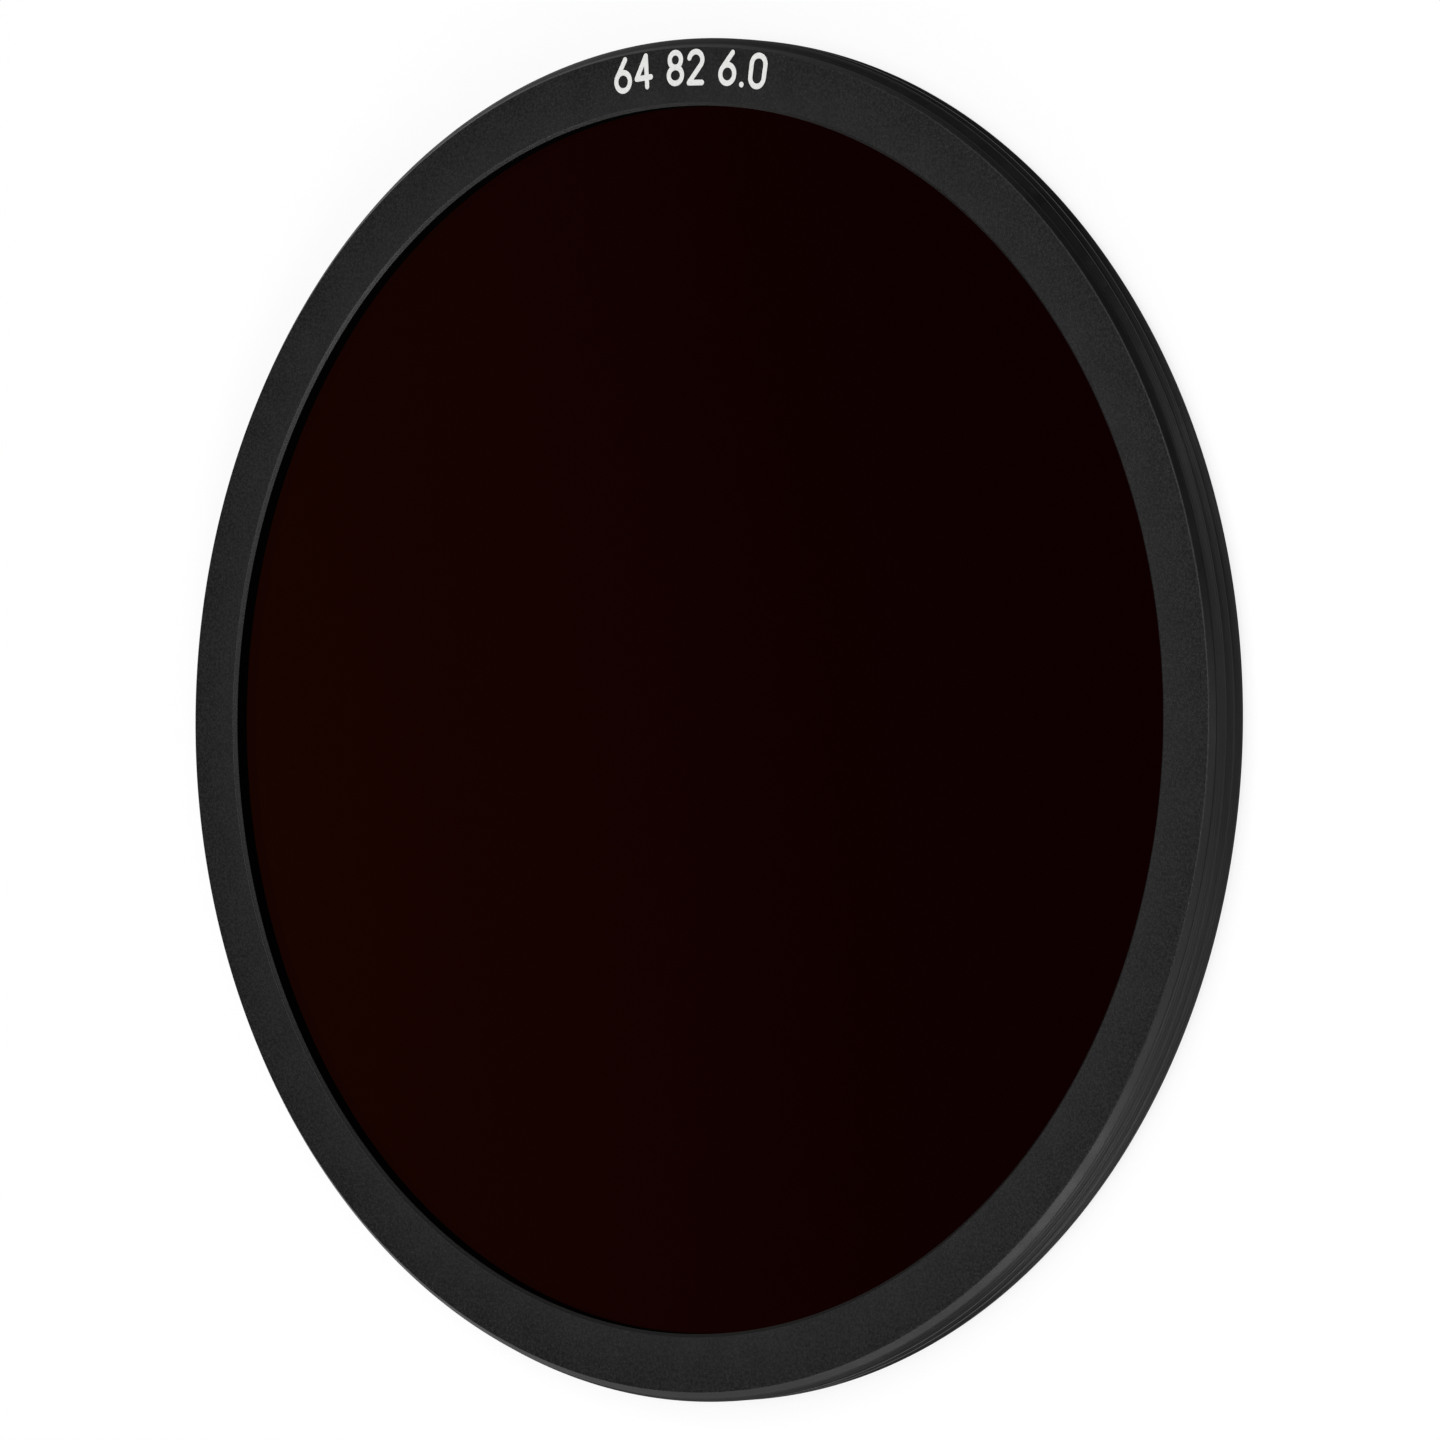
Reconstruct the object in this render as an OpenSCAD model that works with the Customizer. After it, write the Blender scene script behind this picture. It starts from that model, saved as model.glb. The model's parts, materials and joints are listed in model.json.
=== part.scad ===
// Round neutral density filter: a disc of dark glass in a thin ring with a thread round its whole rim.
// It lies on its rear face. The origin is the centre of that face, and +Z points out of the front.
// Ring, glass and retaining ring are turned about +Z, so each one is a section swept round that axis.

/* [Filter ring] */
// Diameter of the filter thread over its crests
thread_d = 82; // [52:1:112]
// Width of the ring, from the crest of the thread to the clear opening
ring_w = 4.1; // [3.6:0.1:7]
// Height of the front lip that the glass seats against
lip_h = 1.05; // [0.5:0.05:2]
// Reach of the bevel round the front face, towards the axis
bevel_w = 0.62; // [0.2:0.02:1.2]
// Drop of the bevel round the front face
bevel_drop = 0.72; // [0.2:0.02:0.9]
// Chamfer that leads the thread in at the rear
lead_in = 0.35; // [0.2:0.05:0.7]
// Broken edge of the clear opening, at the front
opening_break = 0.2; // [0.05:0.05:0.4]

/* [Glass] */
// Thickness of the glass
glass_t = 1.1; // [0.7:0.05:3]
// Width of the seat that the lip gives the rim of the glass
seat_w = 2; // [1:0.1:2.2]
// Clearance between the rim of the glass and its bore
glass_gap = 0.1; // [0.05:0.05:0.3]
// Ground chamfer on both edges of the glass
glass_chamfer = 0.15; // [0.05:0.05:0.3]

/* [Retaining ring] */
// Height of the retaining ring
retainer_h = 0.55; // [0.4:0.05:1.5]
// Width of the retaining ring, from its rim to its opening
retainer_w = 1.3; // [1:0.1:3]
// Clearance between the retaining ring and its bore
retainer_gap = 0.05; // [0.02:0.01:0.12]
// Step from the bore of the glass out to the bore of the retaining ring
retainer_step = 0.4; // [0.3:0.05:0.6]
// Depth of the retaining ring below the rear face
rear_recess = 0.15; // [0.05:0.05:0.6]
// Room between the retaining ring and the step in its bore
step_room = 0.1; // [0.05:0.05:0.3]
// Broken edges of the retaining ring and of the mouth of its bore
retainer_break = 0.12; // [0.05:0.01:0.18]

/* [Spanner notches] */
// Number of notches for a spanner in the retaining ring
notch_count = 2; // [2:1:6]
// Width of a notch
notch_w = 1.5; // [0.8:0.1:3]
// Depth of a notch, from the opening of the retaining ring outwards
notch_depth = 0.7; // [0.3:0.05:0.9]

/* [Hidden] */
$fn = 180;

// Heights above the rear face
glass_back_z = rear_recess + retainer_h;
glass_front_z = glass_back_z + glass_t;
ring_h = glass_front_z + lip_h;
step_z = glass_back_z + step_room;

// Distances from the axis
crest_r = thread_d / 2;
opening_r = crest_r - ring_w;
glass_bore_r = opening_r + seat_w;
glass_r = glass_bore_r - glass_gap;
retainer_bore_r = glass_bore_r + retainer_step;
retainer_r = retainer_bore_r - retainer_gap;
retainer_opening_r = retainer_r - retainer_w;

// Overrun of a cut past the face it leaves
overrun = 1;

module turned(section) {
    rotate_extrude()
        polygon(section);
}

// From the rear face up the rim and over the front face, then down through the opening and the bores
module filter_ring() {
    color([0.15, 0.15, 0.155])
        turned([
            [retainer_bore_r + retainer_break, 0],
            [crest_r - lead_in, 0],
            [crest_r, lead_in],
            [crest_r, ring_h - bevel_drop],
            [crest_r - bevel_w, ring_h],
            [opening_r + opening_break, ring_h],
            [opening_r, ring_h - opening_break],
            [opening_r, glass_front_z],
            [glass_bore_r, glass_front_z],
            [glass_bore_r, step_z],
            [retainer_bore_r, step_z],
            [retainer_bore_r, retainer_break]
        ]);
}

// Flat disc between the lip and the retaining ring
module nd_glass() {
    color([0.1, 0.01, 0.01])
        turned([
            [0, glass_back_z],
            [glass_r - glass_chamfer, glass_back_z],
            [glass_r, glass_back_z + glass_chamfer],
            [glass_r, glass_front_z - glass_chamfer],
            [glass_r - glass_chamfer, glass_front_z],
            [0, glass_front_z]
        ]);
}

// Cuts for the spanner, evenly round the opening of the retaining ring, the first one on +X
module spanner_notches() {
    for (turn = [0 : notch_count - 1])
        rotate([0, 0, turn * 360 / notch_count])
            translate([retainer_opening_r - overrun, -notch_w / 2, rear_recess - overrun])
                cube([overrun + notch_depth, notch_w, retainer_h + 2 * overrun]);
}

module retaining_ring() {
    color([0.1, 0.1, 0.105])
        difference() {
            turned([
                [retainer_opening_r + retainer_break, rear_recess],
                [retainer_r - retainer_break, rear_recess],
                [retainer_r, rear_recess + retainer_break],
                [retainer_r, glass_back_z - retainer_break],
                [retainer_r - retainer_break, glass_back_z],
                [retainer_opening_r, glass_back_z],
                [retainer_opening_r, rear_recess + retainer_break]
            ]);
            spanner_notches();
        }
}

filter_ring();
nd_glass();
retaining_ring();
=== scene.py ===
"""Thin round neutral density filter: threaded ring, glass, retaining ring, marking and room."""

import json
import math

import bmesh
import bpy
from bpy.props import (
    FloatProperty, FloatVectorProperty, IntProperty, PointerProperty, StringProperty)
from mathutils import Matrix, Vector


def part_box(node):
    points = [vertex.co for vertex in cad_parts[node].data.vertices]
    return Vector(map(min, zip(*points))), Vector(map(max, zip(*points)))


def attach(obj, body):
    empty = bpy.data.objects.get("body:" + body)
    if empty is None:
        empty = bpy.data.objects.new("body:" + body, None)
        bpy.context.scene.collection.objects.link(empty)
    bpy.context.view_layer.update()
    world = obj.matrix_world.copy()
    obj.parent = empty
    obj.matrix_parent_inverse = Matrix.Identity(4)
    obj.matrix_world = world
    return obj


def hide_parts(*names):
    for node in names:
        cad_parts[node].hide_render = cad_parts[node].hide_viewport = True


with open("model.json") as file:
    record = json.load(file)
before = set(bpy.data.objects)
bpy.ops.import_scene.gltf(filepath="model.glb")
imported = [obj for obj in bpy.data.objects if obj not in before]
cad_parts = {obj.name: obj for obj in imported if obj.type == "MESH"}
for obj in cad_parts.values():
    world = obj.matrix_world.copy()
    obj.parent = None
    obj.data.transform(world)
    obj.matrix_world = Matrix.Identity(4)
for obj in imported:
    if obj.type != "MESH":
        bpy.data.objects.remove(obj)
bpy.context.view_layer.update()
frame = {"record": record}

bl_info = {
    "name": "Neutral density filter",
    "version": (1, 0, 0),
    "blender": (4, 5, 0),
    "location": "3D View > Sidebar > Filter",
    "description": "Builds a threaded filter ring with its glass, retaining ring and marking",
    "category": "Add Mesh",
}

MM = 0.001
RING_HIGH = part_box("filter_ring")[1]
GLASS_LOW, GLASS_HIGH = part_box("nd_glass")
RETAINER_LOW, RETAINER_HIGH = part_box("retaining_ring")
THREAD_MOUNT = next(m for m in frame["record"]["mounts"] if m["name"] == "filter_thread")

# Overrun of a cut past the face it leaves, and height of the blade that cuts the notches, in mm
OVERRUN = 1.0
BLADE_H = 4.0
# Most of an edge that one rounded corner may take
CORNER_SHARE = 0.4
# Points that round the root of the groove, as shares of its half width and of its depth
ROOT = ((0.28, 0.89), (0.13, 0.97))
# Gaps in the marking between signs and between numbers, as shares of the digits' height
SIGN_GAP = 0.30
NUMBER_GAP = 0.78
# Steps in the round end of a stroke
CAP_STEPS = 8


# Sizes and colours that a user would change

class FilterRingSizes(bpy.types.PropertyGroup):
    """Sizes of the turned ring, in millimetres."""

    crest_r: FloatProperty(
        name="Crest radius", description="Radius over the crests of the thread",
        default=THREAD_MOUNT["dims"]["r_mm"])
    height: FloatProperty(
        name="Height", description="Height from the rear face to the front face",
        default=RING_HIGH[2] / MM)
    ring_w: FloatProperty(
        name="Ring width", description="Width from the crest of the thread to the clear opening",
        default=4.1)
    seat_w: FloatProperty(
        name="Seat width", description="Width of the seat that the lip gives the glass",
        default=2.0)
    retainer_step: FloatProperty(
        name="Bore step", description="Step from the glass bore out to the retaining ring's bore",
        default=0.4)
    step_room: FloatProperty(
        name="Step room", description="Room between the retaining ring and the step in its bore",
        default=0.1)
    bevel_w: FloatProperty(
        name="Bevel reach", description="Reach of the front bevel towards the axis",
        default=0.62)
    bevel_drop: FloatProperty(
        name="Bevel drop", description="Drop of the front bevel", default=0.72)
    lead_in: FloatProperty(
        name="Lead-in", description="Chamfer that leads the thread in at the rear",
        default=0.35)
    opening_break: FloatProperty(
        name="Opening break", description="Broken edge of the clear opening", default=0.2)
    bore_break: FloatProperty(
        name="Bore break", description="Broken edge at the mouth of the rear bore",
        default=0.12)
    edge_r: FloatProperty(
        name="Edge radius", description="Radius left on the turned edges", default=0.05)
    face_edge_r: FloatProperty(
        name="Face edge radius",
        description="Radius between the face and its bevel, softened by the blasting",
        default=0.16)
    segments: IntProperty(
        name="Segments", description="Divisions round the ring", default=640, min=64)


class ThreadSizes(bpy.types.PropertyGroup):
    """Sizes of the right-hand thread on the rim, in millimetres."""

    pitch: FloatProperty(
        name="Pitch", description="Advance of the thread in one turn", default=0.75)
    depth: FloatProperty(
        name="Depth", description="Depth of the groove below the crests", default=0.455)
    land: FloatProperty(
        name="Land", description="Land left between two turns of the groove", default=0.085)
    phase: FloatProperty(
        name="Phase", description="Distance from the front face to the middle of a groove on +X",
        default=1.20)


class GlassSizes(bpy.types.PropertyGroup):
    """Sizes of the glass disc, in millimetres."""

    gap: FloatProperty(
        name="Gap", description="Clearance between the rim of the glass and its bore",
        default=0.1)
    chamfer: FloatProperty(
        name="Chamfer", description="Ground chamfer on both edges", default=0.15)
    edge_r: FloatProperty(
        name="Edge radius", description="Radius left on the ground edges", default=0.03)
    segments: IntProperty(
        name="Segments", description="Divisions round the disc", default=256, min=64)


class RetainerSizes(bpy.types.PropertyGroup):
    """Sizes of the retaining ring, in millimetres."""

    width: FloatProperty(
        name="Width", description="Width from the rim to the opening", default=1.3)
    edge_break: FloatProperty(
        name="Edge break", description="Broken edges of the ring", default=0.12)
    notch_w: FloatProperty(
        name="Notch width", description="Width of a spanner notch", default=1.5)
    notch_depth: FloatProperty(
        name="Notch depth", description="Depth of a spanner notch from the opening outwards",
        default=0.7)
    notch_count: IntProperty(
        name="Notches", description="Number of spanner notches", default=2, min=1)
    edge_r: FloatProperty(
        name="Edge radius", description="Radius left on the turned edges", default=0.03)
    segments: IntProperty(
        name="Segments", description="Divisions round the ring", default=512, min=64)


class MarkingSizes(bpy.types.PropertyGroup):
    """Plain numbers engraved in the front face, in millimetres and degrees."""

    numbers: StringProperty(
        name="Numbers", description="Filter factor, thread size and stops", default="64 82 6.0")
    height: FloatProperty(
        name="Digit height", description="Height over the strokes", default=2.2)
    stroke_w: FloatProperty(
        name="Stroke width", description="Width of the cutter's stroke", default=0.345)
    middle_r: FloatProperty(
        name="Middle radius", description="Radius of the middle of the digits", default=39.2)
    middle_deg: FloatProperty(
        name="Middle angle", description="Angle of the middle of the marking from +X",
        default=89.3)
    groove: FloatProperty(
        name="Groove depth", description="Depth of the engraving", default=0.08)
    fill_drop: FloatProperty(
        name="Fill drop", description="Depth of the white fill below the front face",
        default=0.012)


class FinishColours(bpy.types.PropertyGroup):
    """Colours of the finishes, some of them carrying painted light and shade, as linear values."""

    ring: FloatVectorProperty(
        name="Ring", description="Black anodising of the turned rim",
        subtype="COLOR", default=(0.0018, 0.0018, 0.0019))
    face: FloatVectorProperty(
        name="Face", description="Black anodising of the blasted front face",
        subtype="COLOR", default=(0.0124, 0.0123, 0.0124))
    # The opening edge's colour is a painted highlight along the broken edge, paler than the turned
    # rim.
    edge: FloatVectorProperty(
        name="Opening edge", description="Paler broken edge of the opening, cut after the blasting",
        subtype="COLOR", default=(0.0120, 0.0114, 0.0112))
    # The wall's near-black is painted shade in the opening, far darker than the ring's anodising.
    wall: FloatVectorProperty(
        name="Wall", description="Dead black wall of the clear opening",
        subtype="COLOR", default=(0.0004, 0.0004, 0.0004))
    retainer: FloatVectorProperty(
        name="Retaining ring", description="Matt black anodising of the retaining ring",
        subtype="COLOR", default=(0.0055, 0.0055, 0.0056))
    # The glass's paler left is painted light across the glass, over its own dark tint.
    glass_left: FloatVectorProperty(
        name="Glass, left", description="Light that the glass lets through at its left",
        subtype="COLOR", default=(0.0104, 0.0017, 0.0005))
    glass_right: FloatVectorProperty(
        name="Glass, right", description="Light that the glass lets through at its right",
        subtype="COLOR", default=(0.0055, 0.0002, 0.0005))
    fill: FloatVectorProperty(
        name="Marking", description="White fill of the engraving",
        subtype="COLOR", default=(0.95, 0.95, 0.93))
    floor: FloatVectorProperty(
        name="Floor", description="Pale floor", subtype="COLOR", default=(0.2, 0.2, 0.2))


class StageSizes(bpy.types.PropertyGroup):
    """Camera and room, in millimetres and degrees."""

    camera_turn: FloatProperty(
        name="Camera turn", description="Angle between the camera's view and the filter's axis",
        default=40.92)
    camera_roll: FloatProperty(
        name="Camera roll", description="Roll of the camera about its own view", default=0.5615)
    camera_distance: FloatProperty(
        name="Camera distance", description="Distance from the front face", default=541.0)
    camera_shift_right: FloatProperty(
        name="Camera offset", description="Sideways offset of the camera from the filter's middle",
        default=2.567)
    lens: FloatProperty(
        name="Lens", description="Focal length on a 36 mm sensor", default=225.0)
    floor_r: FloatProperty(
        name="Floor radius", description="Radius of the round floor", default=4000.0)
    cove_h: FloatProperty(
        name="Cove height", description="Height of the cove at the floor's rim", default=700.0)


# Meshes

def rounded(points, radius, arc_steps, keep_square=(), other=None, support=0.6):
    """A section with its corners rounded, where other gives some corners a radius of their own.

    A support point on each side of a corner keeps the flats flat when shaded.
    """
    result = []
    count = len(points)
    for i, here in enumerate(points):
        if i in keep_square or i in (0, count - 1):
            result.append(here)
            continue
        corner = Vector(here)
        to_before = Vector(points[i - 1]) - corner
        to_after = Vector(points[i + 1]) - corner
        room = CORNER_SHARE * min(to_before.length, to_after.length)
        to_before.normalize()
        to_after.normalize()
        half_angle = to_before.angle(to_after) / 2
        reach = min((other or {}).get(i, radius) / math.tan(half_angle), room / (1 + support))
        start = corner + to_before * reach
        end = corner + to_after * reach
        result.append(tuple(corner + to_before * reach * (1 + support)))
        for step in range(arc_steps + 1):
            share = step / arc_steps
            first = start.lerp(corner, share)
            second = corner.lerp(end, share)
            result.append(tuple(first.lerp(second, share)))
        result.append(tuple(corner + to_after * reach * (1 + support)))
    return result


class Lathe:
    """Vertices and faces, in millimetres, of columns that stand round +Z."""

    def __init__(self, segments):
        self.segments = segments
        self.mesh = bmesh.new()

    def angle(self, column):
        return -math.pi + 2 * math.pi * column / self.segments

    def column(self, angle, points):
        cos, sin = math.cos(angle), math.sin(angle)
        return [self.mesh.verts.new((r * cos, r * sin, z)) for r, z in points]

    def skin(self, columns, closed=True):
        """Joins columns side by side, and the last to the first where they close a round."""
        for i in range(len(columns) - (0 if closed else 1)):
            here, following = columns[i], columns[(i + 1) % len(columns)]
            for j in range(len(here) - 1):
                self.mesh.faces.new((here[j], following[j], following[j + 1], here[j + 1]))

    def turn(self, points):
        self.skin([self.column(self.angle(i), points) for i in range(self.segments)])

    def finish(self, name, merge=1e-5):
        bmesh.ops.remove_doubles(self.mesh, verts=self.mesh.verts, dist=merge)
        bmesh.ops.dissolve_degenerate(self.mesh, edges=self.mesh.edges, dist=merge)
        bmesh.ops.recalc_face_normals(self.mesh, faces=self.mesh.faces)
        return new_object(name, self.mesh)


def new_object(name, mesh):
    data = bpy.data.meshes.new(name)
    mesh.to_mesh(data)
    mesh.free()
    made = bpy.data.objects.new(name, data)
    bpy.context.scene.collection.objects.link(made)
    return made


def apply_boolean(piece, cutter, operation):
    """Cuts or joins with the cutter, which goes away."""
    step = piece.modifiers.new("cut", "BOOLEAN")
    step.operation = operation
    step.solver = "MANIFOLD"
    step.object = cutter
    graph = bpy.context.evaluated_depsgraph_get()
    result = bpy.data.meshes.new_from_object(piece.evaluated_get(graph))
    piece.modifiers.clear()
    old = piece.data
    piece.data = result
    name = old.name
    bpy.data.meshes.remove(old)
    result.name = name
    remove(cutter)


def remove(made):
    data = made.data
    bpy.data.objects.remove(made)
    bpy.data.meshes.remove(data)


def to_metres(piece, sharp_deg=40.0):
    piece.data.transform(Matrix.Scale(MM, 4))
    piece.data.shade_smooth()
    piece.data.set_sharp_from_angle(angle=math.radians(sharp_deg))
    piece.data.update()


def dress(piece, material, node=None):
    piece.data.materials.clear()
    piece.data.materials.append(material)
    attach(piece, "root")
    if node:
        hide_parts(node)


# Ring and its thread

def ring_section(ring):
    """The ring's section, closed: up the rim, over the front, down the opening and the bores."""
    opening_r = ring.crest_r - ring.ring_w
    glass_bore_r = opening_r + ring.seat_w
    bore_r = glass_bore_r + ring.retainer_step
    seat_z = GLASS_HIGH[2] / MM
    step_z = GLASS_LOW[2] / MM + ring.step_room
    corners = [
        (ring.crest_r, ring.height / 2),
        (ring.crest_r, ring.height - ring.bevel_drop),
        (ring.crest_r - ring.bevel_w, ring.height),
        (opening_r + ring.opening_break, ring.height),
        (opening_r, ring.height - ring.opening_break),
        (opening_r, seat_z),
        (glass_bore_r, seat_z),
        (glass_bore_r, step_z),
        (bore_r, step_z),
        (bore_r, ring.bore_break),
        (bore_r + ring.bore_break, 0.0),
        (ring.crest_r - ring.lead_in, 0.0),
        (ring.crest_r, ring.lead_in),
        (ring.crest_r, ring.height / 2),
    ]
    face_edge, seat_and_bores = 2, range(5, 11)
    return rounded(corners, ring.edge_r, arc_steps=4, keep_square=seat_and_bores,
                   other={face_edge: ring.face_edge_r})


def groove_cutter(ring, thread):
    """Ribbon with the groove's section, wound right-handed from below the ring to above it."""
    half = (thread.pitch - thread.land) / 2
    # Easing of the groove's edges, reach past the crests, and start below the rear face
    flare, over, under = 0.03, 0.3, 0.5
    below = [(-half - flare, over), (-half - flare, flare), (-half + flare, -flare)]
    below += [(-across * half, -deep * thread.depth) for across, deep in ROOT]
    above = [(-up, out) for up, out in reversed(below)]
    profile = below + [(0.0, -thread.depth)] + above
    start_z = ring.height - thread.phase
    first = math.floor(-(start_z + under) / thread.pitch * ring.segments)
    last = math.ceil(thread.phase / thread.pitch * ring.segments)
    lathe = Lathe(ring.segments)
    columns = []
    for i in range(first, last + 1):
        angle = 2 * math.pi * i / ring.segments
        middle = start_z + thread.pitch * i / ring.segments
        points = [(ring.crest_r + out, middle + up) for up, out in profile]
        columns.append(lathe.column(angle, points))
    columns = [column + column[:1] for column in columns]
    lathe.skin(columns, closed=False)
    lathe.mesh.faces.new(columns[0][:-1])
    lathe.mesh.faces.new(columns[-1][:-1])
    return lathe.finish("groove_cutter")


def build_ring(ring, thread):
    lathe = Lathe(ring.segments)
    lathe.turn(ring_section(ring))
    piece = lathe.finish("filter_ring_turned")
    apply_boolean(piece, groove_cutter(ring, thread), "DIFFERENCE")
    return piece


# Engraved numbers, drawn as the path of a round cutter

def arc(cx, cy, rx, ry, start, end, steps=14):
    """Points on an ellipse, from one angle to another in degrees, with 0 to the right and 90 up."""
    points = []
    for i in range(steps + 1):
        turn = math.radians(start + (end - start) * i / steps)
        points.append((cx + rx * math.cos(turn), cy + ry * math.sin(turn)))
    return points


def digit_strokes(sign):
    """Paths of the cutter for one sign, and the sign's width, as shares of its height."""
    if sign == "0":
        top, bottom = arc(0.29, 0.71, 0.29, 0.29, 0, 180), arc(0.29, 0.29, 0.29, 0.29, 180, 360)
        return [top + bottom + [(0.58, 0.71)]], 0.58
    if sign == "2":
        bow = arc(0.28, 0.73, 0.28, 0.27, 165, -30)
        return [bow + [(0.0, 0.0)], [(0.0, 0.0), (0.58, 0.0)]], 0.58
    if sign == "4":
        top, corner = (0.44, 1.0), (0.0, 0.3)
        return [[top, corner], [corner, (0.62, 0.3)], [top, (0.44, 0.0)]], 0.62
    if sign == "6":
        return [[(0.46, 1.0), (0.05, 0.46)], arc(0.3, 0.3, 0.3, 0.3, 0, 360, steps=24)], 0.6
    if sign == "8":
        upper = arc(0.29, 0.76, 0.24, 0.24, 0, 360, steps=22)
        lower = arc(0.29, 0.26, 0.29, 0.26, 0, 360, steps=24)
        return [upper, lower], 0.58
    if sign == ".":
        return [[(0.04, 0.0), (0.06, 0.0)]], 0.1
    raise ValueError("no strokes for the sign " + sign)


def marking_paths(marking):
    """Paths of the whole line of numbers, with x from its middle and y from the digits' middle."""
    tall = marking.height - marking.stroke_w
    gap, space = SIGN_GAP * tall, NUMBER_GAP * tall
    paths, x = [], 0.0
    for sign in marking.numbers:
        if sign == " ":
            x += space - gap
            continue
        strokes, width = digit_strokes(sign)
        for path in strokes:
            paths.append([(x + u * tall, (v - 0.5) * tall) for u, v in path])
        x += width * tall + gap
    length = x - gap
    return [[(u - length / 2, v) for u, v in path] for path in paths]


def stroke_sides(path, half_w, closed):
    """Points on both sides of a path, where its neighbours' mean direction gives the normal."""
    count = len(path)
    sides = []
    for i, (x, y) in enumerate(path):
        before = path[i - 1] if i or closed else path[i]
        after = path[(i + 1) % count] if i < count - 1 or closed else path[i]
        along = Vector((after[0] - before[0], after[1] - before[1])).normalized()
        across = Vector((-along.y, along.x)) * half_w
        sides.append(((x + across.x, y + across.y), (x - across.x, y - across.y)))
    return sides


def stroke_prism(marking, path, low, high):
    """One stroke of the round cutter, standing in the front face between two heights."""
    mesh = bmesh.new()
    half_w = marking.stroke_w / 2
    middle = math.radians(marking.middle_deg)

    def ring_of(points):
        """The points bent round the ring's axis, at both heights."""
        made = []
        for z in (low, high):
            level = []
            for x, y in points:
                r, turn = marking.middle_r + y, middle - x / marking.middle_r
                level.append(mesh.verts.new((r * math.cos(turn), r * math.sin(turn), z)))
            made.append(level)
        return made

    def walls(floor, roof):
        for i in range(len(floor)):
            j = (i + 1) % len(floor)
            mesh.faces.new((floor[i], floor[j], roof[j], roof[i]))

    closed = math.dist(path[0], path[-1]) < 1e-6
    sides = stroke_sides(path[:-1] if closed else path, half_w, closed)
    left, right = [a for a, b in sides], [b for a, b in sides]
    if closed:
        outer, inner = ring_of(left), ring_of(right)
        walls(*outer)
        walls(*inner)
        for a, b in zip(outer, inner):
            for i in range(len(a)):
                j = (i + 1) % len(a)
                mesh.faces.new((a[i], a[j], b[j], b[i]))
    else:
        def cap(tip, side):
            """Points of the round end, which starts on one side of the stroke's tip."""
            from_tip = math.atan2(side[1] - tip[1], side[0] - tip[0])
            turns = [from_tip - math.pi * k / CAP_STEPS for k in range(1, CAP_STEPS)]
            return [(tip[0] + half_w * math.cos(turn), tip[1] + half_w * math.sin(turn))
                    for turn in turns]

        end, start = cap(path[-1], left[-1]), cap(path[0], right[0])
        floor, roof = ring_of(left + end + right[::-1] + start)
        walls(floor, roof)
        mesh.faces.new(floor)
        mesh.faces.new(roof)
    bmesh.ops.recalc_face_normals(mesh, faces=mesh.faces)
    return new_object("stroke", mesh)


def marking_solid(marking, low, high):
    """All the strokes, joined."""
    first, *others = [stroke_prism(marking, path, low, high) for path in marking_paths(marking)]
    for other in others:
        apply_boolean(first, other, "UNION")
    return first


# Materials

# Scales of the noises in the finishes, per metre
GRAIN_SCALE = 5200.0
PIT_SCALE = 9800.0
PATCH_SCALE = 420.0
TOOTH_SCALE = 7000.0
CHALK_SCALE = 6000.0
MELT_SCALE = 900.0
WIPE_SCALE = 160.0
PAINTED_LIGHT_WOBBLE_SCALE = 60.0
# Pitch of the turning lines, and depths of the reliefs, in metres
TURNING_PITCH = 0.000055
METAL_RELIEF = 0.000014
FINE_RELIEF = 0.00001
# Depths below the front face between which the blasting and the painted highlight on the opening
# edge fade, in metres
BLAST_FADE = (0.00006, 0.00001)
EDGE_HIGHLIGHT_FADE = (0.00003, 0.00001)
# Distances from the opening between which the painted highlight on its edge ends, and reach of the
# wall's painted shade, in metres
EDGE_HIGHLIGHT_END = (0.00019, 0.00023)
WALL_REACH = 0.00001
# Glass and its coating, whose thickness is in nanometres
GLASS_IOR = 1.5
COATING_THICKNESS = 112.0
COATING_IOR = 1.23
# Brightness of the floor to the camera, and its share of that in gloss
FLOOR_WHITE = 0.83
FLOOR_IN_GLOSS = 0.5


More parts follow.
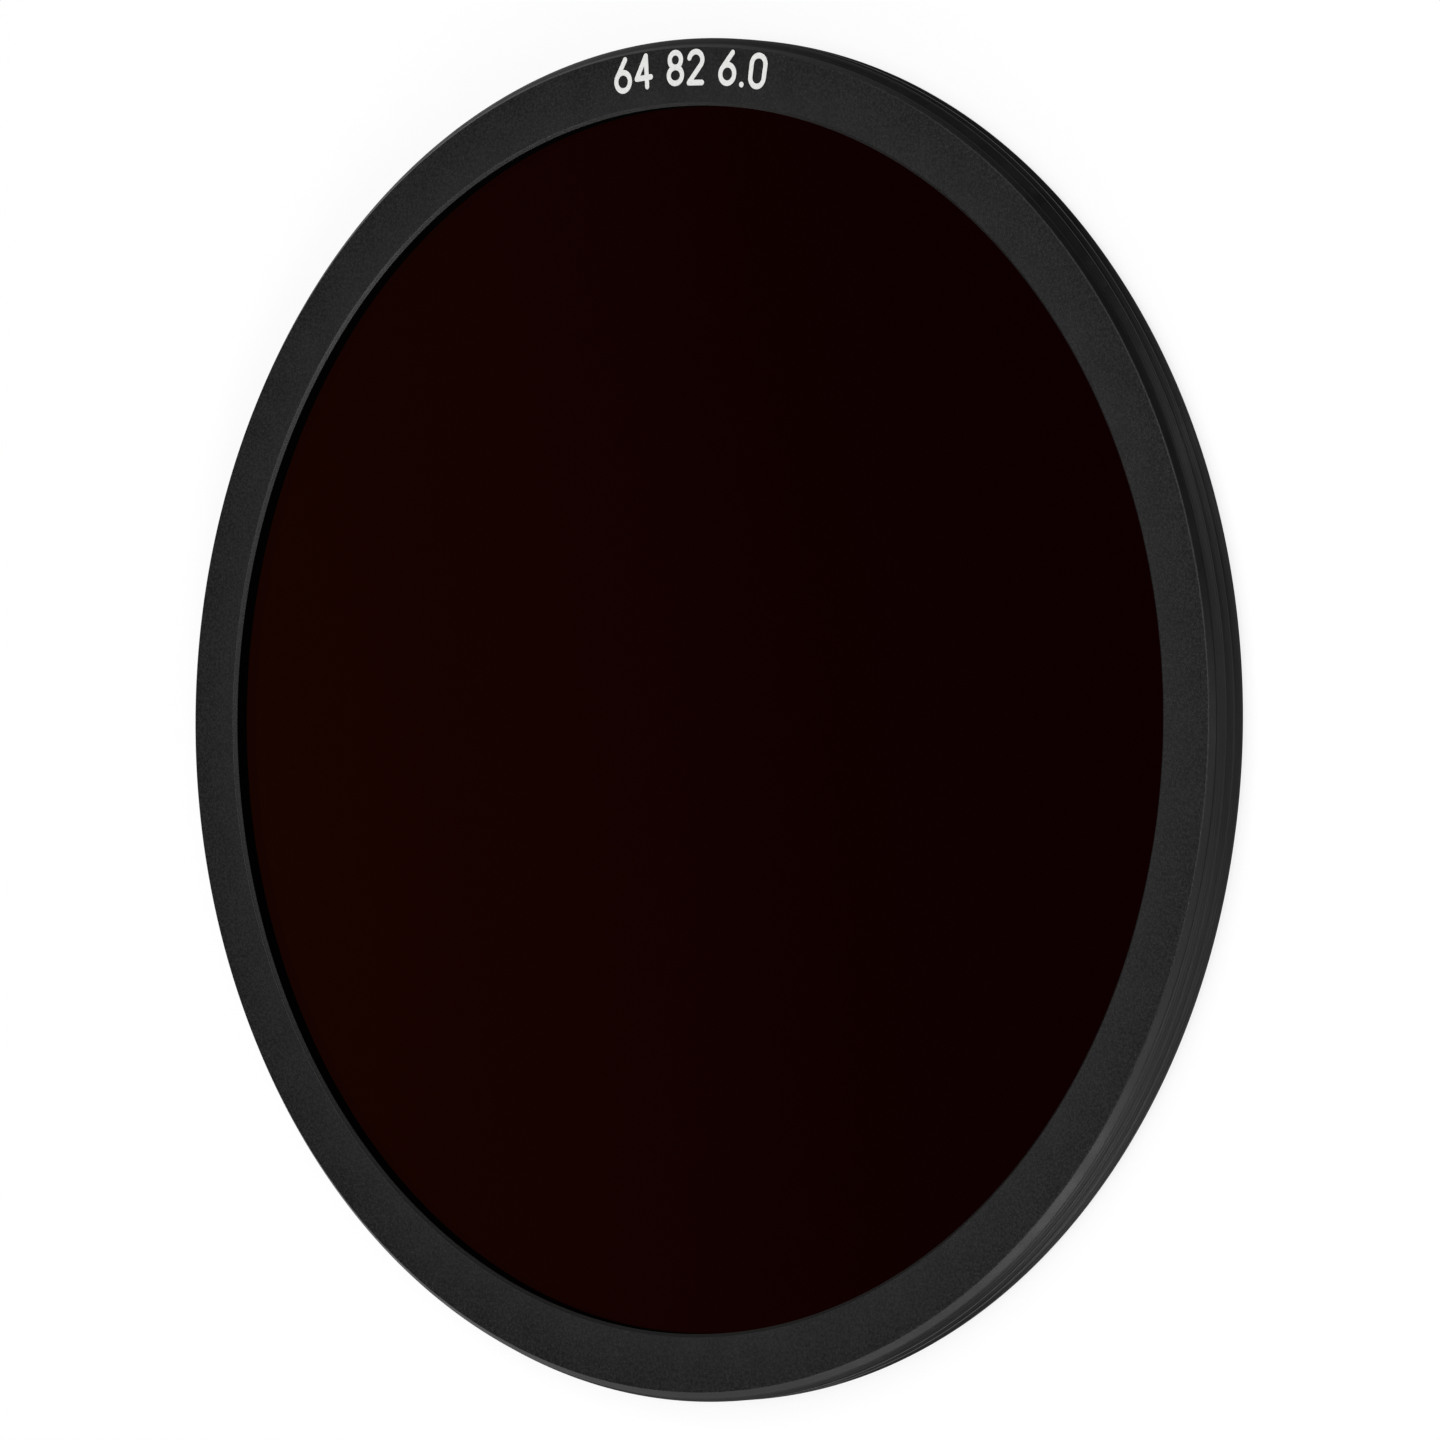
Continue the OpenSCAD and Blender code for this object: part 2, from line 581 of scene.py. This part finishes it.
class Nodes:
    """Short calls for the nodes that the finishes share."""

    def __init__(self, name):
        self.material = bpy.data.materials.new(name)
        self.material.use_nodes = True
        self.tree = self.material.node_tree
        self.tree.nodes.clear()
        self.output = self.add("ShaderNodeOutputMaterial")
        self.shader = self.add("ShaderNodeBsdfPrincipled")
        self.link(self.shader.outputs["BSDF"], self.output.inputs["Surface"])
        self.place = self.add("ShaderNodeTexCoord").outputs["Object"]

    def add(self, kind, **settings):
        node = self.tree.nodes.new(kind)
        for key, value in settings.items():
            setattr(node, key, value)
        return node

    def link(self, source, target):
        self.tree.links.new(source, target)

    def put(self, target, value):
        if isinstance(value, bpy.types.NodeSocket):
            self.link(value, target)
        else:
            target.default_value = value

    def noise(self, scale, detail=2.0, rough=0.5):
        node = self.add("ShaderNodeTexNoise")
        self.link(self.place, node.inputs["Vector"])
        node.inputs["Scale"].default_value = scale
        node.inputs["Detail"].default_value = detail
        node.inputs["Roughness"].default_value = rough
        return node.outputs["Fac"]

    def math(self, operation, first, second=0.0):
        node = self.add("ShaderNodeMath", operation=operation)
        self.put(node.inputs[0], first)
        self.put(node.inputs[1], second)
        return node.outputs[0]

    def span(self, value, from_low, from_high, to_low, to_high):
        node = self.add("ShaderNodeMapRange", clamp=True)
        limits = {"From Min": from_low, "From Max": from_high, "To Min": to_low, "To Max": to_high}
        for key, number in {"Value": value, **limits}.items():
            self.put(node.inputs[key], number)
        return node.outputs["Result"]

    def mix(self, share, first, second):
        node = self.add("ShaderNodeMix", data_type="RGBA")
        self.put(node.inputs["Factor"], share)
        self.put(node.inputs["A"], first)
        self.put(node.inputs["B"], second)
        return node.outputs["Result"]

    def bump(self, height, distance, strength):
        node = self.add("ShaderNodeBump")
        node.inputs["Strength"].default_value = strength
        node.inputs["Distance"].default_value = distance
        self.link(height, node.inputs["Height"])
        return node.outputs["Normal"]

    def cylinder(self):
        """Distance from the axis and height, in metres."""
        parts = self.add("ShaderNodeSeparateXYZ")
        self.link(self.place, parts.inputs[0])
        squares = self.math("ADD", self.math("POWER", parts.outputs["X"], 2.0),
                            self.math("POWER", parts.outputs["Y"], 2.0))
        return self.math("SQRT", squares), parts.outputs["Z"]


def rgba(colour, share=1.0):
    return (colour[0] * share, colour[1] * share, colour[2] * share, 1.0)


def anodised(name, colour, sizes, face=None, edge=None):
    """Black anodised aluminium: glossy where it is turned, paler and grainy where it is blasted;
    painted light pales the face towards the opening, and a painted highlight lies on the opening's
    edge.
    """
    n = Nodes(name)
    radius, height = n.cylinder()
    grain = n.noise(GRAIN_SCALE, detail=2.5, rough=0.6)
    pits = n.noise(PIT_SCALE)
    patches = n.noise(PATCH_SCALE, detail=5.0, rough=0.6)
    outer, inner = sizes.crest_r * MM, (sizes.crest_r - sizes.ring_w) * MM
    uneven = n.span(patches, 0.32, 0.68, 0.0, 1.0)
    skin = n.mix(uneven, rgba(colour, 0.8), rgba(colour, 1.2))
    skin = n.mix(n.span(grain, 0.35, 0.65, 0.0, 0.5), skin, rgba(colour, 1.9))
    shine = n.span(patches, 0.3, 0.7, 0.34, 0.42)
    along = n.math("ADD", radius, height)
    turning = n.math("SINE", n.math("MULTIPLY", along, 2 * math.pi / TURNING_PITCH))
    relief = n.math("ADD", n.math("MULTIPLY", turning, 0.08), n.math("MULTIPLY", grain, 0.35))
    if face:
        top = sizes.height * MM
        blasted = n.span(height, top - BLAST_FADE[0], top - BLAST_FADE[1], 0.0, 1.0)
        dye_and_painted_light = n.mix(uneven, rgba(face, 0.86), rgba(face, 1.1))
        pale = n.mix(0.6, dye_and_painted_light, rgba(face, 2.2))
        dye_and_painted_light = n.mix(n.span(grain, 0.36, 0.64, 0.0, 1.0), rgba(face, 0.25), pale)
        dye_and_painted_light = n.mix(n.span(pits, 0.38, 0.62, 0.55, 0.0), dye_and_painted_light, rgba(face, 0.2))
        dye_and_painted_light = n.mix(n.span(pits, 0.62, 0.74, 0.0, 0.7), dye_and_painted_light, rgba(face, 3.0))
        # Painted light: the flat face is coloured paler towards the opening and darker towards its
        # outer edge.
        dye_and_painted_light = n.mix(n.span(radius, inner, outer, 0.4, 0.0), dye_and_painted_light, rgba(face, 2.1))
        skin = n.mix(blasted, skin, dye_and_painted_light)
        # Painted highlight: the opening's broken edge is coloured paler than the turned rim,
        # standing in for light along it.
        near = n.span(radius, inner + EDGE_HIGHLIGHT_END[0], inner + EDGE_HIGHLIGHT_END[1], 1.0, 0.0)
        lower = n.span(height, top - EDGE_HIGHLIGHT_FADE[0], top - EDGE_HIGHLIGHT_FADE[1], 1.0, 0.0)
        edge_painted_highlight = n.mix(n.span(grain, 0.3, 0.7, 0.0, 1.0), rgba(edge, 0.8), rgba(edge, 1.2))
        skin = n.mix(n.math("MULTIPLY", near, lower), skin, edge_painted_highlight)
        shine = n.math("ADD", shine, n.math("MULTIPLY", blasted, 0.06))
        turned = n.math("MULTIPLY", relief, n.math("SUBTRACT", 1.0, blasted))
        rough = n.math("ADD", grain, n.math("MULTIPLY", pits, 0.5))
        relief = n.math("ADD", turned, n.math("MULTIPLY", rough, blasted))
    n.put(n.shader.inputs["Base Color"], skin)
    n.put(n.shader.inputs["Roughness"], shine)
    n.shader.inputs["Specular IOR Level"].default_value = 0.3
    n.link(n.bump(relief, METAL_RELIEF, 0.8), n.shader.inputs["Normal"])
    return n.material


def painted_shade_black(name, colour):
    """Near-black matt surface with a fine tooth on the wall of the opening: painted shade, far
    darker than the ring's own anodising.
    """
    n = Nodes(name)
    tooth = n.noise(TOOTH_SCALE, detail=3.0)
    n.put(n.shader.inputs["Base Color"],
          n.mix(n.span(tooth, 0.3, 0.7, 0.0, 1.0), rgba(colour, 0.6), rgba(colour, 1.4)))
    n.shader.inputs["Roughness"].default_value = 0.95
    n.shader.inputs["Specular IOR Level"].default_value = 0.02
    n.link(n.bump(tooth, FINE_RELIEF, 0.6), n.shader.inputs["Normal"])
    return n.material


def coated_glass(left, right, rim):
    """Dark red-brown glass with a low-reflection coating and wiping marks, with painted light that
    makes it paler towards its left.
    """
    n = Nodes("nd_glass")
    across = n.add("ShaderNodeSeparateXYZ")
    n.link(n.place, across.inputs[0])
    # Painted light: the glass fades from paler at its left to darker at its right.
    painted_light_across = n.math("ADD", across.outputs["X"], n.math("MULTIPLY", across.outputs["Y"], 0.12))
    painted_light_across = n.math("ADD", painted_light_across, n.math("MULTIPLY", n.noise(PAINTED_LIGHT_WOBBLE_SCALE), 0.004))
    tint_and_painted_light = n.mix(n.span(painted_light_across, -rim * MM, 0.5 * rim * MM, 0.0, 1.0), rgba(left), rgba(right))
    streaks = n.span(n.noise(MELT_SCALE, detail=3.0), 0.35, 0.65, 0.0, 0.07)
    n.put(n.shader.inputs["Base Color"], n.mix(streaks, tint_and_painted_light, rgba(right, 0.4)))
    n.shader.inputs["Transmission Weight"].default_value = 1.0
    n.shader.inputs["IOR"].default_value = GLASS_IOR
    n.shader.inputs["Thin Film Thickness"].default_value = COATING_THICKNESS
    n.shader.inputs["Thin Film IOR"].default_value = COATING_IOR
    wiped = n.noise(WIPE_SCALE, detail=3.0)
    n.put(n.shader.inputs["Roughness"], n.span(wiped, 0.45, 0.8, 0.0, 0.03))
    return n.material


def marking_fill(colour):
    """White filling compound with a slightly chalky surface."""
    n = Nodes("marking_fill")
    chalk = n.noise(CHALK_SCALE, detail=3.0)
    n.put(n.shader.inputs["Base Color"],
          n.mix(n.span(chalk, 0.3, 0.7, 0.0, 1.0), rgba(colour, 0.88), rgba(colour, 1.0)))
    n.shader.inputs["Roughness"].default_value = 0.6
    n.link(n.bump(chalk, FINE_RELIEF, 0.5), n.shader.inputs["Normal"])
    return n.material


def white_floor(colour):
    """Pale floor that keeps shadows. It looks white directly and through glass, grey in gloss."""
    n = Nodes("white_floor")
    n.put(n.shader.inputs["Base Color"], rgba(colour))
    n.shader.inputs["Roughness"].default_value = 0.9
    n.shader.inputs["Specular IOR Level"].default_value = 0.0
    path = n.add("ShaderNodeLightPath")
    seen = n.math("MAXIMUM", path.outputs["Is Camera Ray"], path.outputs["Is Transmission Ray"])
    glossy = n.math("MULTIPLY", path.outputs["Is Glossy Ray"], FLOOR_IN_GLOSS)
    seen = n.math("MAXIMUM", seen, glossy)
    n.shader.inputs["Emission Color"].default_value = (1.0, 1.0, 1.0, 1.0)
    n.link(n.math("MULTIPLY", seen, FLOOR_WHITE), n.shader.inputs["Emission Strength"])
    return n.material


# Room

# Name, direction from the filter, distance, width and height in metres, and power in watts
LAMPS = (
    ("front_strip", (-0.10, -0.985, 0.14), 1.0, (0.7, 0.10), 1.15),
    ("front_left_strip", (-0.55, -0.83, 0.10), 1.0, (0.5, 0.12), 0.28),
    ("front_box", (0.287, -0.882, 0.375), 1.0, (0.35, 0.20), 2.3),
    ("front_right_box", (0.533, -0.682, 0.50), 1.0, (0.35, 0.25), 1.1),
    ("right_front_box", (0.70, -0.40, 0.59), 1.0, (0.3, 0.25), 0.9),
    ("right_box", (0.84, 0.0, 0.543), 1.2, (0.4, 0.4), 1.25),
    ("overhead_box", (0.0, 0.0, 1.0), 1.2, (0.7, 0.7), 5.6),
    ("right_top_box", (0.45, 0.10, 0.89), 1.2, (0.4, 0.4), 0.4),
    ("rear_right_box", (0.40, 0.45, 0.80), 1.2, (0.5, 0.5), 1.6),
    ("rear_box", (-0.20, 0.55, 0.81), 1.2, (0.5, 0.5), 2.6),
)
WORLD_STRENGTH = 0.02
# The wall at the left as a lamp, the way it faces, its colour and its spread in degrees
WARM_WALL = ("warm_wall", (-0.787, 0.0, 0.904), 1.2, (0.5, 0.5), 0.0004)
WARM_WALL_FACES = (0.690, 0.018, -0.723)
WARM_WALL_COLOUR = (1.0, 0.33, 0.06)
WARM_WALL_SPREAD = 13
# Drop of the floor below the ring and radii of its flat part, in mm, and its divisions
FLOOR_DROP = 0.02
FLOOR_RADII = (0.0, 200.0, 1000.0)
FLOOR_SEGMENTS = 96


# Operators

class FILTER_OT_ring(bpy.types.Operator):
    """Turn the ring with its thread, bevel, lip and rear bore, and engrave the numbers"""

    bl_idname = "filter.ring"
    bl_label = "Filter ring"

    def execute(self, context):
        scene = context.scene
        ring, marking, colours = scene.filter_ring, scene.filter_marking, scene.filter_colours
        piece = build_ring(ring, scene.filter_thread)
        cutter = marking_solid(marking, ring.height - marking.groove, ring.height + OVERRUN)
        apply_boolean(piece, cutter, "DIFFERENCE")
        to_metres(piece)
        material = anodised("anodised_ring", colours.ring, ring, colours.face, colours.edge)
        dress(piece, material, "filter_ring")
        # The wall of the opening below its broken edge takes the near-black painted shade.
        piece.data.materials.append(painted_shade_black("opening_wall_painted_shade", colours.wall))
        opening_r = (ring.crest_r - ring.ring_w) * MM
        below = (ring.height - ring.opening_break - ring.edge_r) * MM
        for face in piece.data.polygons:
            out = math.hypot(face.center.x, face.center.y)
            if out < opening_r + WALL_REACH and face.center.z < below:
                face.material_index = 1
        return {"FINISHED"}


class FILTER_OT_marking(bpy.types.Operator):
    """Fill the engraved numbers with white"""

    bl_idname = "filter.marking"
    bl_label = "Marking"

    def execute(self, context):
        scene = context.scene
        ring, marking = scene.filter_ring, scene.filter_marking
        bottom, top = ring.height - marking.groove, ring.height - marking.fill_drop
        piece = marking_solid(marking, bottom, top)
        piece.name = "marking_fill"
        to_metres(piece)
        dress(piece, marking_fill(scene.filter_colours.fill))
        return {"FINISHED"}


class FILTER_OT_glass(bpy.types.Operator):
    """Make the disc of dark glass"""

    bl_idname = "filter.glass"
    bl_label = "Glass"

    def execute(self, context):
        scene = context.scene
        ring, sizes, colours = scene.filter_ring, scene.filter_glass, scene.filter_colours
        low, high = GLASS_LOW[2] / MM, GLASS_HIGH[2] / MM
        rim = ring.crest_r - ring.ring_w + ring.seat_w - sizes.gap
        chamfer = sizes.chamfer
        corners = [(0.0, high), (rim - chamfer, high), (rim, high - chamfer),
                   (rim, low + chamfer), (rim - chamfer, low), (0.0, low)]
        lathe = Lathe(sizes.segments)
        lathe.turn(rounded(corners, sizes.edge_r, arc_steps=1))
        piece = lathe.finish("nd_glass_disc")
        to_metres(piece)
        material = coated_glass(colours.glass_left, colours.glass_right, rim)
        dress(piece, material, "nd_glass")
        return {"FINISHED"}


class FILTER_OT_retainer(bpy.types.Operator):
    """Turn the retaining ring and cut its spanner notches"""

    bl_idname = "filter.retainer"
    bl_label = "Retaining ring"

    def execute(self, context):
        scene = context.scene
        sizes, ring = scene.filter_retainer, scene.filter_ring
        low, high = RETAINER_LOW[2] / MM, RETAINER_HIGH[2] / MM
        outer = RETAINER_HIGH[0] / MM
        opening = outer - sizes.width
        edge = sizes.edge_break
        corners = [(opening, high), (outer - edge, high), (outer, high - edge),
                   (outer, low + edge), (outer - edge, low),
                   (opening + edge, low), (opening, low + edge), (opening, high)]
        lathe = Lathe(sizes.segments)
        lathe.turn(rounded(corners, sizes.edge_r, arc_steps=2))
        piece = lathe.finish("retaining_ring_turned")
        cutter = bmesh.new()
        reach = sizes.notch_depth + OVERRUN
        middle = (opening + sizes.notch_depth - reach / 2, 0.0, (low + high) / 2)
        blade = (Matrix.Translation(middle)
                 @ Matrix.Diagonal((reach, sizes.notch_w, BLADE_H, 1.0)))
        for i in range(sizes.notch_count):
            made = bmesh.ops.create_cube(cutter, size=1.0)
            turn = Matrix.Rotation(2 * math.pi * i / sizes.notch_count, 4, "Z")
            bmesh.ops.transform(cutter, matrix=turn @ blade, verts=made["verts"])
        apply_boolean(piece, new_object("notch_cutter", cutter), "DIFFERENCE")
        to_metres(piece)
        material = anodised("anodised_retainer", scene.filter_colours.retainer, ring)
        dress(piece, material, "retaining_ring")
        return {"FINISHED"}


class FILTER_OT_stage(bpy.types.Operator):
    """Make the floor, the lamps, the world and the camera"""

    bl_idname = "filter.stage"
    bl_label = "Stage"

    def execute(self, context):
        scene = context.scene
        sizes = scene.filter_stage
        self.floor(sizes, scene.filter_colours.floor)
        for lamp in LAMPS:
            self.lamp(*lamp)
        self.warm_wall()
        self.world(scene)
        self.camera(scene, sizes)
        scene.view_settings.view_transform = "Standard"
        return {"FINISHED"}

    def floor(self, sizes, colour):
        lathe = Lathe(FLOOR_SEGMENTS)
        cove = sizes.cove_h
        rim = arc(sizes.floor_r - cove, cove, cove, cove, 270, 360, steps=12)
        flat = [(r, 0.0) for r in FLOOR_RADII]
        lathe.turn([(r, z - FLOOR_DROP) for r, z in flat + rim])
        floor = lathe.finish("floor", merge=1e-3)
        to_metres(floor)
        floor.data.flip_normals()
        floor.data.materials.append(white_floor(colour))

    def lamp(self, name, direction, distance, size, power):
        data = bpy.data.lights.new(name, "AREA")
        data.shape = "RECTANGLE"
        data.size, data.size_y = size
        data.energy = power
        made = bpy.data.objects.new(name, data)
        bpy.context.scene.collection.objects.link(made)
        back = Vector(direction).normalized()
        made.location = back * distance
        made.rotation_mode = "QUATERNION"
        made.rotation_quaternion = (-back).to_track_quat("-Z", "Y")
        return made

    def warm_wall(self):
        """Dim brown wall, whose narrow spread lets its glow fade across the glass."""
        wall = self.lamp(*WARM_WALL)
        wall.data.color = WARM_WALL_COLOUR
        wall.data.spread = math.radians(WARM_WALL_SPREAD)
        wall.rotation_quaternion = Vector(WARM_WALL_FACES).to_track_quat("-Z", "Y")

    def world(self, scene):
        world = bpy.data.worlds.new("studio")
        world.use_nodes = True
        shade = world.node_tree.nodes["Background"]
        shade.inputs["Color"].default_value = (1.0, 1.0, 1.0, 1.0)
        shade.inputs["Strength"].default_value = WORLD_STRENGTH
        scene.world = world

    def camera(self, scene, sizes):
        turn, roll = math.radians(sizes.camera_turn), math.radians(sizes.camera_roll)
        right = Vector((math.cos(turn), 0.0, -math.sin(turn)))
        up = Vector((0.0, 1.0, 0.0))
        back = Vector((math.sin(turn), 0.0, math.cos(turn)))
        aim = Vector((0.0, 0.0, RING_HIGH[2]))
        place = aim + back * sizes.camera_distance * MM + right * sizes.camera_shift_right * MM
        rolled_right = right * math.cos(roll) + up * math.sin(roll)
        rolled_up = up * math.cos(roll) - right * math.sin(roll)
        data = bpy.data.cameras.new("camera")
        data.sensor_width = 36.0
        data.lens = sizes.lens
        data.clip_start, data.clip_end = 0.01, 20.0
        made = bpy.data.objects.new("camera", data)
        scene.collection.objects.link(made)
        axes = Matrix((rolled_right, rolled_up, back)).transposed()
        made.matrix_world = Matrix.Translation(place) @ axes.to_4x4()
        scene.camera = made


class FILTER_PT_panel(bpy.types.Panel):
    """Lists the operators of the filter"""

    bl_label = "Neutral density filter"
    bl_idname = "FILTER_PT_panel"
    bl_space_type = "VIEW_3D"
    bl_region_type = "UI"
    bl_category = "Filter"

    def draw(self, context):
        for operator in OPERATORS:
            self.layout.operator(operator.bl_idname)


OPERATORS = (
    FILTER_OT_stage, FILTER_OT_ring, FILTER_OT_marking, FILTER_OT_glass, FILTER_OT_retainer)
GROUPS = {
    "filter_ring": FilterRingSizes,
    "filter_thread": ThreadSizes,
    "filter_glass": GlassSizes,
    "filter_retainer": RetainerSizes,
    "filter_marking": MarkingSizes,
    "filter_colours": FinishColours,
    "filter_stage": StageSizes,
}


def register():
    for made in (*GROUPS.values(), *OPERATORS, FILTER_PT_panel):
        bpy.utils.register_class(made)
    for name, group in GROUPS.items():
        setattr(bpy.types.Scene, name, PointerProperty(type=group))


def unregister():
    for name in GROUPS:
        delattr(bpy.types.Scene, name)
    for made in (FILTER_PT_panel, *reversed(OPERATORS), *reversed(GROUPS.values())):
        bpy.utils.unregister_class(made)


def main():
    register()
    bpy.ops.filter.stage()
    bpy.ops.filter.ring()
    bpy.ops.filter.marking()
    bpy.ops.filter.glass()
    bpy.ops.filter.retainer()
    bpy.context.view_layer.update()


if __name__ == "__main__":
    main()
